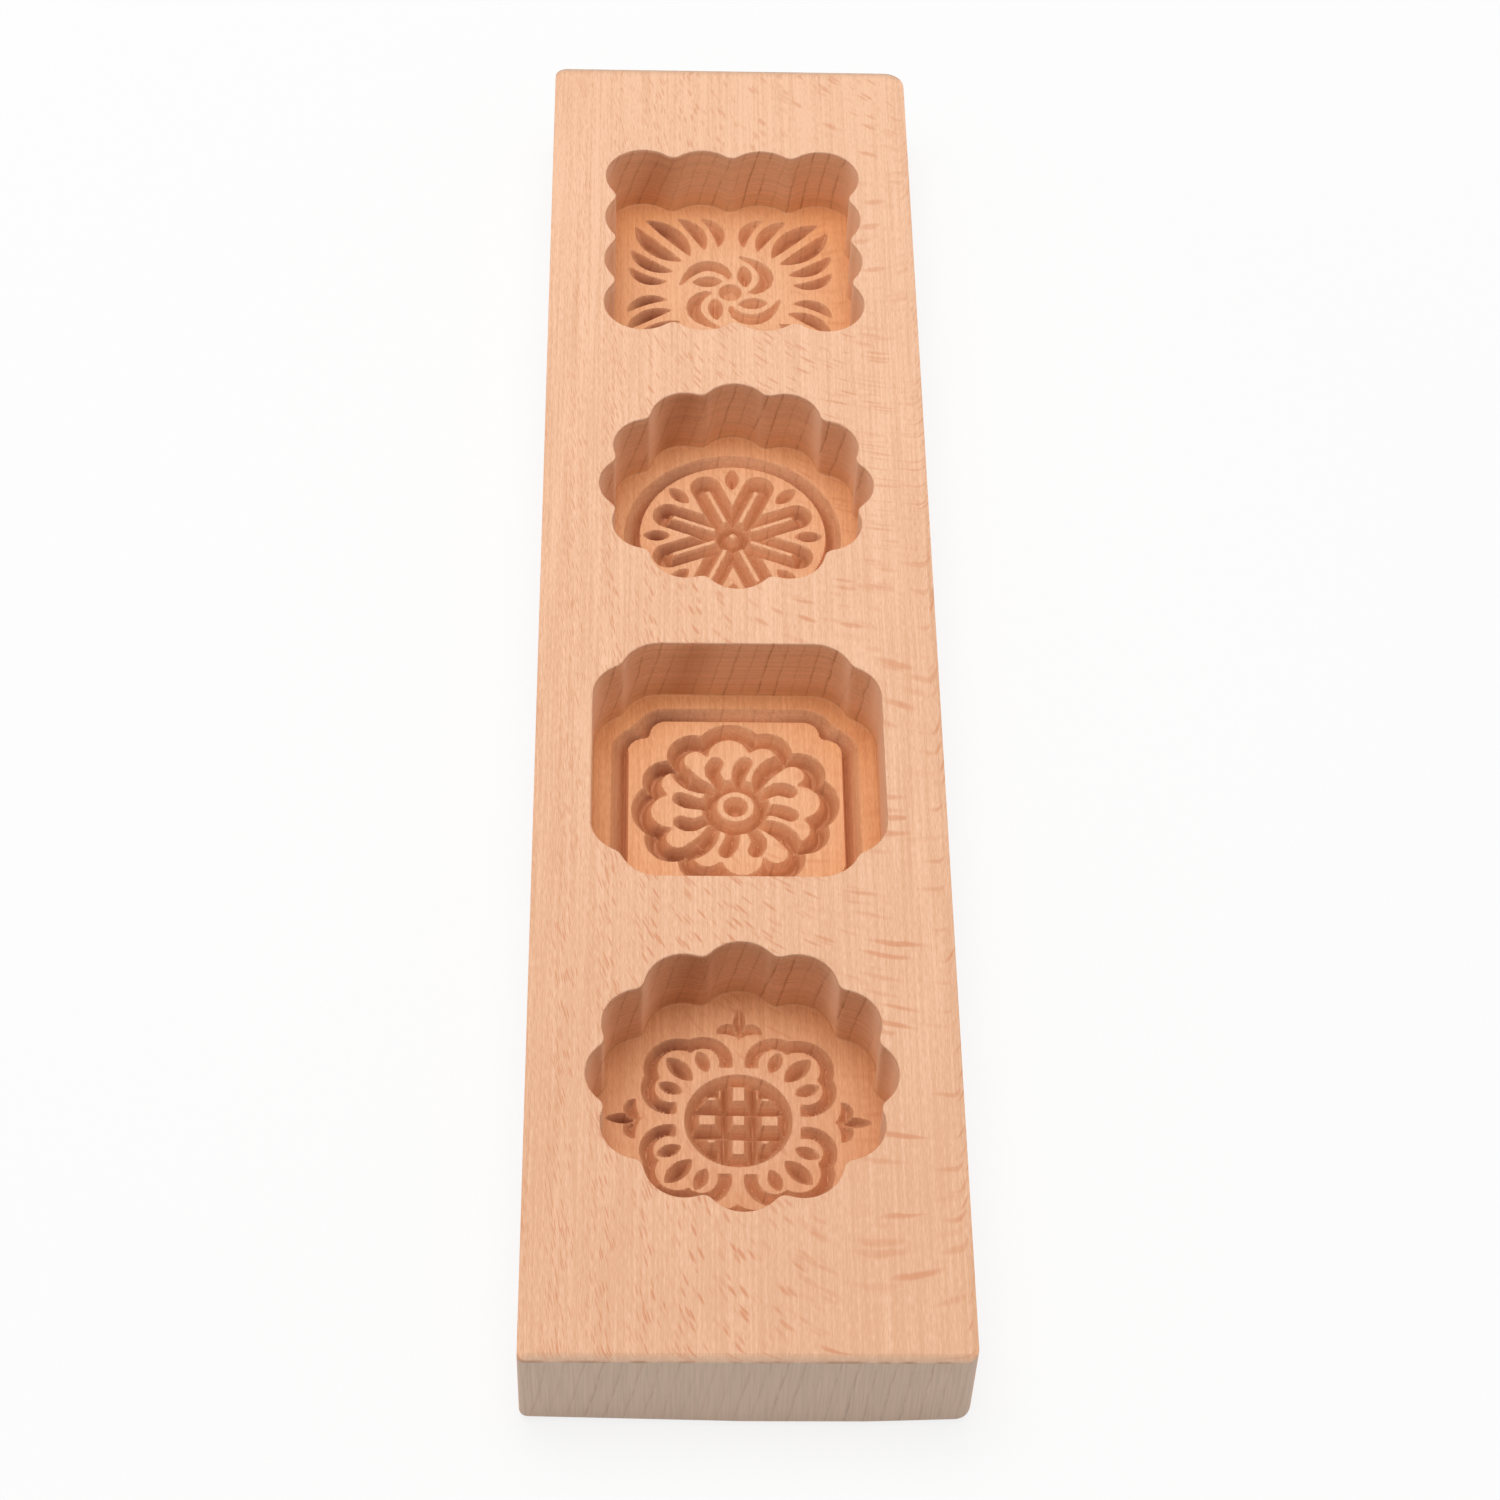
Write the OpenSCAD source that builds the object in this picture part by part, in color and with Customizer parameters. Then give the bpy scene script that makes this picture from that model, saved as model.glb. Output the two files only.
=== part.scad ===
// Wooden mooncake mold: one plank of beech with four carved cavities.
// Origin at the centre of the underside, +Y runs to the far end, +Z is up. Millimetres.

/* [Board] */
// Length of the plank, along the grain
board_l = 375; // [340:1:420]
// Width of the plank
board_w = 90; // [84:1:110]
// Thickness of the plank
board_t = 25; // [24:0.5:32]
// Rounding sanded on every edge
edge_r = 2; // [1:0.25:3]

/* [Cavities] */
// Distance from one cavity centre to the next
pitch = 81.7; // [76:0.1:90]
// Shift of the row of cavities towards the far end
row_shift = 2.3; // [-4:0.1:4]
// Depth of every cavity
depth = 18.8; // [12:0.1:20]
// Reach of each cavity from its centre to its wall
reach = 32.3; // [28:0.1:34]
// Lobes round a round cavity
lobes = 12; // [8:1:16]
// Radius of a lobe of a round cavity
lobe_r = 8.4; // [7.5:0.1:9.5]
// Radius between two lobes
valley_r = 2.6; // [1:0.1:4]
// Radius of a lobe of the square cavity
side_lobe_r = 9.6; // [8:0.1:11]
// Radius of the corners of the notched cavity
notch_r = 9; // [5:0.5:12]
// How far each corner of the notched cavity is stepped in
notch_in = 6; // [3:0.25:9]

/* [Carving] */
// Depth of the carved pockets below the cavity floor
carve = 3; // [1.5:0.1:4]
// Run of a carved wall for each millimetre of its depth
taper = 0.58; // [0.3:0.02:0.7]
// Reach of the round panel of the ringed cavity
ring_panel = 22.1; // [18:0.1:24]
// Width of the groove round a panel
groove_w = 3.8; // [2:0.1:5]
// Width of the flat at the bottom of a groove
groove_flat = 0.8; // [0.4:0.1:1.5]
// Reach of the panel of the notched cavity
notch_panel = 24.2; // [20:0.1:26]
// Petals of the flower in the ringed cavity
petals = 8; // [6:1:10]
// Half width of such a petal
petal_r = 3.7; // [2.5:0.1:4.5]
// Reach of the lattice in the near cavity
lattice_r = 11.3; // [9:0.1:13]
// Distance from one lattice block to the next
lattice_pitch = 6.45; // [5.5:0.05:7]
// Width of the band carved round each trefoil
band_w = 3; // [2:0.1:4]

/* [Hidden] */
$fn = 40;
floor_z = board_t - depth;
over = 1;
lift = 0.3;
run = taper * carve;
rise = taper * lift;
// Carved flowers are drawn for this reach and grow with it
g = reach / 32.3;

// Plan of a round cavity: a ring of lobes with softened valleys
module lobed_round() {
    offset(r = -valley_r) offset(r = valley_r) union() {
        circle(reach - lobe_r);
        for (i = [0 : lobes - 1])
            rotate(i * 360 / lobes) translate([reach - lobe_r, 0]) circle(lobe_r, $fn = 36);
    }
}

// Plan of the square cavity: four lobes to a side, the corners shared
module lobed_square() {
    c = reach - side_lobe_r;
    offset(r = -valley_r) offset(r = valley_r) union() {
        square(2 * c, center = true);
        for (a = [0 : 90 : 270], k = [0 : 2])
            rotate(a) translate([c - k * c * 2 / 3, c]) circle(side_lobe_r, $fn = 36);
    }
}

// A rectangle with rounded corners, from its two half sizes
module round_rect(a, b, r) {
    offset(r = r) square([2 * (a - r), 2 * (b - r)], center = true);
}

// Plan of the notched cavity: two rounded rectangles crossed
module notched(long, short, r) {
    round_rect(long, short, r);
    round_rect(short, long, r);
}

// A well from the floor up through the top face
module well() {
    translate([0, 0, floor_z]) linear_extrude(depth + over) children();
}

// Lofts one ring of points above the floor down to another ring at the given depth
module loft(top, low, d) {
    n = len(top);
    polyhedron(
        points = concat([for (p = top) [p.x, p.y, lift]], [for (p = low) [p.x, p.y, -d]]),
        faces = concat(
            [[for (i = [n - 1 : -1 : 0]) i]],
            [[for (i = [0 : n - 1]) n + i]],
            [for (i = [0 : n - 1]) [i, (i + 1) % n, n + (i + 1) % n]],
            [for (i = [0 : n - 1]) [i, n + (i + 1) % n, n + i]]));
}

// Outline of a leaf between tips a and b; s and t are the bows of its two sides to the left of a to b
function leaf_ring(a, b, s, t, inset, cut, n) =
    let (d = b - a, side = [-d.y, d.x] / norm(d))
    [for (i = [2 * n - 1 : -1 : 0])
        let (k = i <= n ? i / n : 2 - i / n,
             u = cut + k * (1 - 2 * cut),
             bow = 4 * u * (1 - u),
             half = k > 0 && k < 1 ? max(0.02, (s - t) / 2 * bow - inset) : 0)
        a + d * u + side * ((s + t) / 2 * bow + (i <= n ? half : -half))];

// Leaf-shaped pocket, cut to a keel as a tapered cutter leaves it
module leaf(a, b, s, t, n = 7) {
    h = (s - t) / 2 * g;
    d = min(carve, 0.95 * h / taper);
    in = taper * d;
    loft(leaf_ring(a * g, b * g, s * g, t * g, -rise, -0.01, n),
         leaf_ring(a * g, b * g, s * g, t * g, in, (1 - sqrt(1 - in / h)) / 2, n), d);
}

// Edge point of a path of [x, y, half width] on its side s, square to the path there
function path_edge(p, i, s) =
    let (d = p[min(i + 1, len(p) - 1)] - p[max(i - 1, 0)], n = [-d.y, d.x] / norm([d.x, d.y]))
    [p[i].x, p[i].y] + s * p[i].z * n;

// Plan of a path with round ends
module path_plan(p) {
    last = len(p) - 1;
    polygon(concat(
        [for (i = [0 : last]) path_edge(p, i, 1)],
        [for (i = [last : -1 : 0]) path_edge(p, i, -1)]));
    for (q = [p[0], p[last]]) translate([q.x, q.y]) circle(q.z, $fn = 16);
}

// Flat-bottomed pocket of the plan that it is given
module flat_pocket(d) {
    translate([0, 0, -d]) linear_extrude(d + lift) scale(g) children();
}

// Round pocket with tapered wall
module cone_pocket(r, d = carve) {
    translate([0, 0, -d]) cylinder(h = d + lift, r1 = r - taper * d, r2 = r + rise);
}

// Groove turned round the panel of the ringed cavity
module ring_groove() {
    r = ring_panel;
    rotate_extrude($fn = 72) polygon([
        [r, lift], [r + groove_w, lift], [r + groove_w, 0],
        [r + 0.5 + groove_flat, -carve], [r + 0.5, -carve], [r, 0]]);
}

// Solid of the notched outline between two levels, wider or narrower below by the given run
module notched_taper(long, short, r, low) {
    for (q = [[long, short], [short, long]]) hull() {
        translate([0, 0, -carve]) linear_extrude(0.01) round_rect(q[0] + low, q[1] + low, r + low);
        linear_extrude(lift) round_rect(q[0], q[1], r);
    }
}

// Groove that follows the panel of the notched cavity
module notch_groove() {
    p = notch_panel;
    s = notch_panel - notch_in * 0.8;
    difference() {
        notched_taper(p + groove_w, s + groove_w, 3 + groove_w, 0.5 + groove_flat - groove_w);
        notched_taper(p, s, 3, 0.5);
    }
}

// Repeats what it is given on the four quarters, with its mirror image over the diagonal if asked
module quarters(both = false) {
    for (a = [0 : 90 : 270], m = both ? [0, 1] : [0]) rotate(a) mirror([m, -m, 0]) children();
}

// Four corners of leaves round a pinwheel
module pinwheel_flower() {
    arm = [[-12.7, 2.7, 0.5], [-11.2, 5.6, 1.05], [-9.4, 7.8, 1.55], [-7.6, 9, 1.75], [-5.7, 9.4, 1.8],
           [-3.6, 9, 1.75], [-1.8, 7.8, 1.5], [-0.6, 6.3, 1], [-0.4, 5.2, 0.5]];
    quarters(true) leaf([23, 25.3], [10.7, 12.4], 0.35, -4.3);
    quarters(true) leaf([14.5, 26], [7, 14.7], 0.1, -3.7);
    quarters(true) leaf([8.2, 26.2], [3.5, 16], -0.6, -3.9);
    quarters() flat_pocket(carve * 0.6) path_plan(arm);
    quarters() leaf([-9.8, 3.3], [-2.1, 4], 1.95, -1.95);
    cone_pocket(3 * g, carve / 2);
}

// Outline of one petal at a given inset
function petal_ring(inset) = concat(
    [[4.5 * g, inset - 2.6 * g]],
    [for (q = [-95 : 19 : 95]) [16.5 * g, 0] + (petal_r * g - inset) * [cos(q), sin(q)]],
    [[4.5 * g, 2.6 * g - inset]]);

// Outline of the rib down the middle of a petal
function rib_ring(inset) = [
    [4.9 * g - inset, -inset - 0.5], [15.3 * g + inset, -inset - 0.5],
    [15.3 * g + inset, inset + 0.5], [4.9 * g - inset, inset + 0.5]];

// Flower of ribbed petals with a drop between each two
module petal_flower() {
    for (i = [0 : petals - 1]) rotate((i + 0.5) * 360 / petals) difference() {
        loft(petal_ring(-rise), petal_ring(run), carve);
        translate([0, 0, -lift]) loft(rib_ring(0), rib_ring(0.7), carve);
    }
    difference() {
        cone_pocket(5.6 * g);
        translate([0, 0, -carve - 1]) cylinder(h = carve + 1, r1 = 2.8, r2 = 0.8);
    }
    for (i = [0 : petals - 1]) rotate(i * 360 / petals) leaf([14.7, 0], [21.5, 0], 1.7, -1.7, 6);
}

// Plan of one three-lobed petal of the swirling flower, with two commas cut into it
module swirl_petal() {
    near = [[-4.4, 12.2, 1.85], [-5, 10.8, 1.95], [-5.1, 9.5, 1.8], [-4.4, 7.8, 1.55], [-3.3, 5.6, 1.5]];
    far = [[2.2, 12.4, 1.85], [1.4, 10.8, 1.95], [0.9, 9.2, 1.75], [0.7, 7.4, 1.6], [0.8, 5.6, 1.6]];
    scale(g) difference() {
        union() {
            intersection() {
                polygon([[-11, 12.2], [-9.6, 9.6], [-4.6, 5], [3, 5], [5, 10], [8.6, 14.3], [-1, 16]]);
                translate([2.6, 20.15]) circle(16, $fn = 80);
            }
            for (p = [[-8.9, 12.95, 2.55], [-1.4, 14.5, 4.4], [6.3, 13.25, 3.3]])
                translate([p.x, p.y]) circle(p.z);
        }
        translate([12, 6.65]) circle(8.4, $fn = 60);
        circle(7.75, $fn = 60);
        path_plan(near);
        path_plan(far);
    }
}

// Swirling flower: petals standing in a scalloped pocket round a ringed eye
module swirl_flower() {
    difference() {
        union() {
            cone_pocket(14 * g);
            for (a = [0 : 90 : 270], p = [[-9.2, 14.2, 6.2], [-1, 15, 8.4], [7, 15, 6]])
                rotate(a) translate([p[0] * g, p[1] * g, 0]) cone_pocket(p[2] * g);
        }
        translate([0, 0, -carve - 1]) linear_extrude(carve + 1)
            for (a = [0 : 90 : 270]) rotate(a) swirl_petal();
        translate([0, 0, -carve - 1]) difference() {
            cylinder(h = carve + 1, r1 = (4.1 + run) * g, r2 = 4.1 * g);
            translate([0, 0, 1]) cylinder(h = carve + lift, r1 = 0.6 * g, r2 = 2.9 * g);
        }
    }
}

// A block of the lattice, wider below
module block(w, h) {
    q = function(k) [for (c = [[-1, -1], [1, -1], [1, 1], [-1, 1]]) [c.x * (w / 2 + k), c.y * (h / 2 + k)]];
    translate([0, 0, -lift]) loft(q(0), q(run * 0.8), carve);
}

// Band carved round the outer side of a trefoil
module trefoil_band() {
    spots = [[7.6, 14.3, 3.4], [12.6, 12.6, 4.6], [14.3, 7.6, 3.4]];
    difference() {
        for (p = spots) translate([p[0] * g, p[1] * g, 0]) cone_pocket((p[2] + band_w) * g);
        translate([0, 0, -carve - 1]) linear_extrude(carve + 2) {
            for (p = spots) translate([p[0] * g, p[1] * g]) circle(p[2] * g);
            square(13 * g);
        }
    }
}

// Plan of a lily that points outwards
module lily() {
    polygon(leaf_ring([20, 0], [28.2, 0], 1.3, -1.3, 0, 0, 8));
    wing = leaf_ring([20.4, 0], [21.4, 4.95], -0.5, -3.3, 0, 0, 8);
    for (m = [1, -1]) polygon([for (p = wing) [p.x, m * p.y]]);
}

// Lattice disc, four trefoils with their seeds, and a lily on each axis
module lattice_flower() {
    difference() {
        cone_pocket(lattice_r * g);
        intersection() {
            for (i = [-1 : 1], j = [-1 : 1]) translate([i * lattice_pitch * g, j * lattice_pitch * g, 0])
                block((i == 0 ? 2.3 : 3) * g, (j == 0 ? 2.2 : 3) * g);
            translate([0, 0, -carve - 1]) cylinder(h = carve + 1, r1 = 10.2 * g, r2 = 7.8 * g);
        }
    }
    quarters() trefoil_band();
    quarters() leaf([9.6, 9.7], [15.2, 15.4], 1.95, -1.95);
    quarters(true) leaf([6.6, 12], [8.7, 17], 1.5, -1.5, 6);
    quarters() flat_pocket(carve * 0.6) lily();
}

// Puts a cavity's cutters k pitches from the middle of the row
module at(k, z) {
    translate([0, row_shift + k * pitch, z]) children();
}

// The plank with its edges sanded round
module plank() {
    h = edge_r;
    hull() for (x = [-1, 1], y = [-1, 1], z = [h, board_t - h])
        translate([x * (board_w / 2 - h), y * (board_l / 2 - h), z]) sphere(h, $fn = 16);
}

// The plank with its four plain wells
module bored_plank() {
    difference() {
        plank();
        at(1.5, 0) well() lobed_square();
        at(0.5, 0) well() lobed_round();
        at(-0.5, 0) well() notched(reach, reach - notch_in, notch_r);
        at(-1.5, 0) well() lobed_round();
    }
}

// The wells are cut first, and then one floor is carved after the other
module mold_board() {
    color("BurlyWood") difference() {
        difference() {
            difference() {
                difference() {
                    bored_plank();
                    at(1.5, floor_z) pinwheel_flower();
                }
                at(0.5, floor_z) ring_groove();
                at(0.5, floor_z) petal_flower();
            }
            at(-0.5, floor_z) notch_groove();
            at(-0.5, floor_z) swirl_flower();
        }
        at(-1.5, floor_z) lattice_flower();
    }
}

mold_board();
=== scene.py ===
import math

import bmesh
import bpy
import numpy as np
from mathutils import Matrix, Vector
from mathutils.geometry import delaunay_2d_cdt


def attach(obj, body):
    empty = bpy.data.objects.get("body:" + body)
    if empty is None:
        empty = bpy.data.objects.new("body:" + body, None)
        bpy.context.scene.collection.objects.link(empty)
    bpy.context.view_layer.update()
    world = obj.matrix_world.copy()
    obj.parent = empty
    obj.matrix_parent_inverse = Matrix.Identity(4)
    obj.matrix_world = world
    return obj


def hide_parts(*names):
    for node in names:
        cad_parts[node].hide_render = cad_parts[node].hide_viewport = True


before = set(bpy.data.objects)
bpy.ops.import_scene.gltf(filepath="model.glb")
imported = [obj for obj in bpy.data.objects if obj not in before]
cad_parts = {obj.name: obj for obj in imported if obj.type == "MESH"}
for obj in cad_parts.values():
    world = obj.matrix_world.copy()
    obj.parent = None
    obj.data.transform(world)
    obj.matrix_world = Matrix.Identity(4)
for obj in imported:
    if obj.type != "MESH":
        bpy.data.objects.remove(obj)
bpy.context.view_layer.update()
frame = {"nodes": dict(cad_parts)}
print("frame loaded:", ", ".join(frame["nodes"]))

mm = 0.001  # the shapes below are worked out in millimetres


# Camera

# where the photograph was taken from, fitted to the corners of the board
photoView = {
    "place": (-0.0231, -0.5122, 0.6339),
    "pitch": 51.95,
    "yaw": 3.051,
    "roll": 2.891,
    "lens": 84.31,
    "sensor": 36,
}


def placeCamera(view):
    pitch, yaw, roll = (math.radians(view[k]) for k in ("pitch", "yaw", "roll"))
    forward = Vector((math.sin(yaw) * math.cos(pitch), math.cos(yaw) * math.cos(pitch), -math.sin(pitch)))
    level = Vector((math.cos(yaw), -math.sin(yaw), 0))
    down = forward.cross(level)
    right = math.cos(roll) * level - math.sin(roll) * down
    up = -(math.sin(roll) * level + math.cos(roll) * down)
    data = bpy.data.cameras.new("photoCamera")
    data.lens = view["lens"]
    data.sensor_width = view["sensor"]
    camera = bpy.data.objects.new("photoCamera", data)
    aim = Matrix((right, up, -forward)).transposed().to_4x4()
    camera.matrix_world = Matrix.Translation(view["place"]) @ aim
    bpy.context.collection.objects.link(camera)
    bpy.context.scene.camera = camera


placeCamera(photoView)
print("camera placed")


# Fields: how far inside a plan each point lies, in mm, below zero outside it

outside = -99.0  # mm, far from any plan


def softMax(a, b, blend):
    share = np.clip(0.5 + 0.5 * (a - b) / blend, 0, 1)
    return b + (a - b) * share + blend * share * (1 - share)


def softMin(a, b, blend):
    return -softMax(-a, -b, blend)


def turned(x, y, degrees):
    c, s = math.cos(math.radians(degrees)), math.sin(math.radians(degrees))
    return c * x + s * y, c * y - s * x


def disc(x, y, cx, cy, radius):
    return radius - np.hypot(x - cx, y - cy)


def discs(x, y, spots, grow=0):
    return np.maximum.reduce([disc(x, y, cx, cy, radius + grow) for cx, cy, radius in spots])


def roundedRect(x, y, halfX, halfY, radius):
    dx, dy = np.abs(x) - halfX + radius, np.abs(y) - halfY + radius
    return radius - np.hypot(np.maximum(dx, 0), np.maximum(dy, 0)) - np.minimum(np.maximum(dx, dy), 0)


# how far along the line from a to b each point lies, as a share, and how far off it
def besideLine(x, y, ax, ay, bx, by):
    ex, ey = bx - ax, by - ay
    along = np.clip(((x - ax) * ex + (y - ay) * ey) / (ex * ex + ey * ey), 0, 1)
    return along, np.hypot(x - ax - along * ex, y - ay - along * ey)


def polygon(x, y, corners):
    nearest, within = np.full(x.shape, -outside), np.zeros(x.shape, bool)
    for (ax, ay), (bx, by) in zip(corners, corners[1:] + corners[:1]):
        nearest = np.minimum(nearest, besideLine(x, y, ax, ay, bx, by)[1])
        if by != ay:
            within ^= ((ay > y) != (by > y)) & (x < ax + (y - ay) * (bx - ax) / (by - ay))
    return np.where(within, nearest, -nearest)


# two arcs between the tips; each bow is its height to the left of tipA to tipB
def leaf(x, y, tipA, tipB, bowLeft, bowRight, tipBlend=0.15):
    half = math.dist(tipA, tipB) / 2
    midX, midY = (tipA[0] + tipB[0]) / 2, (tipA[1] + tipB[1]) / 2
    leftX, leftY = (tipA[1] - tipB[1]) / (2 * half), (tipB[0] - tipA[0]) / (2 * half)
    sides = []
    for bow in (bowLeft, bowRight):
        radius = (half ** 2 + bow ** 2) / (2 * abs(bow))
        centre = bow - radius * math.copysign(1, bow)
        away = np.hypot(x - midX - leftX * centre, y - midY - leftY * centre)
        sides.append((radius - away) * math.copysign(1, bow))
    return softMin(sides[0], -sides[1], tipBlend)


# a round-ended path of (x, y, radius) points
def path(x, y, points):
    inside = np.full(x.shape, outside)
    for (ax, ay, ar), (bx, by, br) in zip(points, points[1:]):
        along, away = besideLine(x, y, ax, ay, bx, by)
        inside = np.maximum(inside, ar + (br - ar) * along - away)
    return inside


# Cavities

cavity = {
    "pitch": 81.7,  # centre to centre
    "rowShift": 2.3,  # the row sits a little towards the far end
    "depth": 18.8,
    "reach": 32.3,  # centre to wall
    "lobes": 12,
    "lobeR": 8.4,
    "sideLobeR": 9.6,
    "valley": 2.3,  # blend between two lobes of a round cavity
    "sideValley": 2.8,
    "sideCorner": 0.5,
    "notchR": 9,
    "notchIn": 6,
    "notchBlend": 1.2,
    "rimRound": 0.35,
    "footRound": 0.45,
}


def roundWall(x, y):
    spread = cavity["reach"] - cavity["lobeR"]
    inside = spread - np.hypot(x, y)
    for k in range(cavity["lobes"]):
        u, v = turned(x, y, 360 * k / cavity["lobes"])
        inside = softMax(inside, disc(u, v, spread, 0, cavity["lobeR"]), cavity["valley"])
    return inside


# a lobe on each corner and two along each side
def squareWall(x, y):
    spread = cavity["reach"] - cavity["sideLobeR"]
    inside = roundedRect(x, y, spread, spread, cavity["sideCorner"])
    for quarter in range(4):
        u, v = turned(x, y, 90 * quarter)
        for k in range(3):
            lobe = disc(u, v, spread - k * spread * 2 / 3, spread, cavity["sideLobeR"])
            inside = softMax(inside, lobe, cavity["sideValley"])
    return inside


def crossed(x, y, long, short, radius, blend):
    return softMax(roundedRect(x, y, long, short, radius), roundedRect(x, y, short, long, radius), blend)


def notchedWall(x, y):
    long = cavity["reach"]
    return crossed(x, y, long, long - cavity["notchIn"], cavity["notchR"], cavity["notchBlend"])


carving = {
    "deep": 3.3,
    "run": 0.58,  # sideways run of a cut wall for each mm down
    "lip": 0.05,  # softening of a cut edge
    "keel": 0.25,  # rounding at the bottom of a cut
    "ease": 0.3,  # rounding where two sides of a cut meet
    "grooveWide": 3.8,
    "grooveInner": 0.17,  # run per mm of the steep side, next to the panel
    "grooveOuter": 0.86,
}


def groove(past):
    steep = past * carving["run"] / carving["grooveInner"]
    shallow = (carving["grooveWide"] - past) * carving["run"] / carving["grooveOuter"]
    return softMin(steep, shallow, carving["ease"])


# corner leaves round a four-armed pinwheel; a leaf is its two tips and the bows of its two sides
pinwheel = {
    "eye": 3,
    "eyeDeep": 2.2,
    "leaves": (
        ((23, 25.3), (10.6, 12.4), 0.35, -4.3),
        ((14.5, 26.3), (6.9, 14.7), 0.1, -3.7),
        ((8.3, 26.5), (3.5, 16), -0.6, -3.9)),
    "arm": (
        (-12.8, 2.5, 0.5), (-11.2, 5.6, 1.1), (-9.4, 7.8, 1.6), (-7.6, 9, 1.8), (-5.7, 9.4, 1.85),
        (-3.6, 9, 1.8), (-1.8, 7.8, 1.5), (-0.6, 6.3, 1), (-0.4, 5.2, 0.5)),
    "armDeep": 2.6,
    "seed": ((-9.9, 3.2), (-2, 4), 2, -1.9),
    "seedDeep": 2.8,
}


# each flower gives its cuts as pairs of a field and the greatest depth
def pinwheelCuts(x, y):
    cuts = [(disc(x, y, 0, 0, pinwheel["eye"]), pinwheel["eyeDeep"])]
    for quarter in range(4):
        u, v = turned(x, y, 90 * quarter)
        for p, q in ((u, v), (v, u)):
            cuts += [(leaf(p, q, *blade), carving["deep"]) for blade in pinwheel["leaves"]]
        cuts.append((path(u, v, pinwheel["arm"]), pinwheel["armDeep"]))
        cuts.append((leaf(u, v, *pinwheel["seed"]), pinwheel["seedDeep"]))
    return cuts


# eight ribbed petals, with a drop between each two and a ring groove round them
petals = {
    "count": 8,
    "panel": 22.1,
    "petal": ((0, 0, 3.75), (16.6, 0, 3.75)),
    "pin": 0.7,  # radius of the pin that stands in the middle
    "ribFrom": 4.7,
    "ribTo": 15.3,
    "ribHalf": 0.45,
    "drop": ((14.7, 0), (21.5, 0), 1.7, -1.7),
}


def petalCuts(x, y):
    away = np.hypot(x, y)
    flower, ribs = np.full(x.shape, outside), away - petals["pin"]
    cuts = [(groove(away - petals["panel"]), carving["deep"])]
    for k in range(petals["count"]):
        step = 360 / petals["count"]
        u, v = turned(x, y, step * (k + 0.5))
        flower = np.maximum(flower, path(u, v, petals["petal"]))
        rib = np.maximum.reduce([np.abs(v) - petals["ribHalf"], petals["ribFrom"] - u, u - petals["ribTo"]])
        ribs = np.minimum(ribs, rib)
        u, v = turned(x, y, step * k)
        cuts.append((leaf(u, v, *petals["drop"]), carving["deep"]))
    cuts.append((softMin(flower, ribs, carving["ease"]), carving["deep"]))
    return cuts


# four swirling petals that stand in a scalloped pocket, round a ringed eye
swirl = {
    "panel": (24.2, 19.2, 3.6, 2),  # half length, half width, corner radius, blend
    "pocket": 14,
    "scallops": ((-9.2, 14.2, 6.2), (-1, 15, 8.4), (7, 15, 6)),
    "eye": 3.45,
    "eyeHalf": 0.62,
    "petal": [(-11, 12.2), (-9.6, 9.6), (-4.6, 5), (3, 5), (5, 10), (8.6, 14.3), (-1, 16)],
    "petalBack": (2.6, 20.15, 16),  # discs that bound the petal and hollow its side
    "petalHook": (12, 6.65, 8.4),
    "petalLobes": ((-8.9, 12.95, 2.55), (-1.4, 14.5, 4.4), (6.3, 13.25, 3.3)),
    "petalFrom": 7.75,
    "petalEase": 0.5,
    "slits": (
        ((-4.4, 12.2, 1.85), (-5, 10.8, 1.95), (-5.1, 9.5, 1.8), (-4.3, 7.8, 1.55), (-3.2, 5.6, 1.5)),
        ((2.2, 12.4, 1.85), (1.4, 10.8, 1.95), (0.9, 9.2, 1.75), (0.7, 7.4, 1.6), (0.8, 5.6, 1.6))),
}


def swirlCuts(x, y):
    away = np.hypot(x, y)
    pocket, standing = swirl["pocket"] - away, swirl["eyeHalf"] - np.abs(away - swirl["eye"])
    for quarter in range(4):
        u, v = turned(x, y, 90 * quarter)
        pocket = np.maximum(pocket, discs(u, v, swirl["scallops"]))
        petal = np.minimum(polygon(u, v, swirl["petal"]), disc(u, v, *swirl["petalBack"]))
        for lobe in swirl["petalLobes"]:
            petal = softMax(petal, disc(u, v, *lobe), swirl["petalEase"])
        petal = np.minimum.reduce([petal, -disc(u, v, *swirl["petalHook"]), away - swirl["petalFrom"]])
        slits = np.maximum.reduce([path(u, v, slit) for slit in swirl["slits"]])
        standing = np.maximum(standing, softMin(petal, -slits, swirl["petalEase"]))
    ring = groove(-crossed(x, y, *swirl["panel"]))
    return [(ring, carving["deep"]), (softMin(pocket, -standing, carving["ease"]), carving["deep"])]


# a lattice disc, four banded trefoils with seeds, and a lily on each axis
lattice = {
    "disc": 11.4,
    "middle": (1.15, 1.1),  # half the width of the middle column and row of standing blocks
    "side": (4.95, 4.9),  # where the next column and row start
    "blocksWithin": 8.2,
    "cornerStrip": (3, 5.5),  # the corner blocks are cut back to narrow strips
    "trefoil": ((7.6, 14.3, 3.4), (12.6, 12.6, 4.6), (14.3, 7.6, 3.4)),
    "band": 3,
    "bandOpen": 13,
    "bandEase": 0.5,
    "seed": ((9.6, 9.7), (15.3, 15.5), 1.95, -1.95),
    "sideSeed": ((6.6, 11.8), (8.8, 17.1), 1.5, -1.5),
    "lily": ((20, 0), (28.2, 0), 1.35, -1.35),
    "lilySide": ((20.4, 0), (21.4, 4.95), -0.5, -3.3),
    "lilyDeep": 2.6,
}


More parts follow.
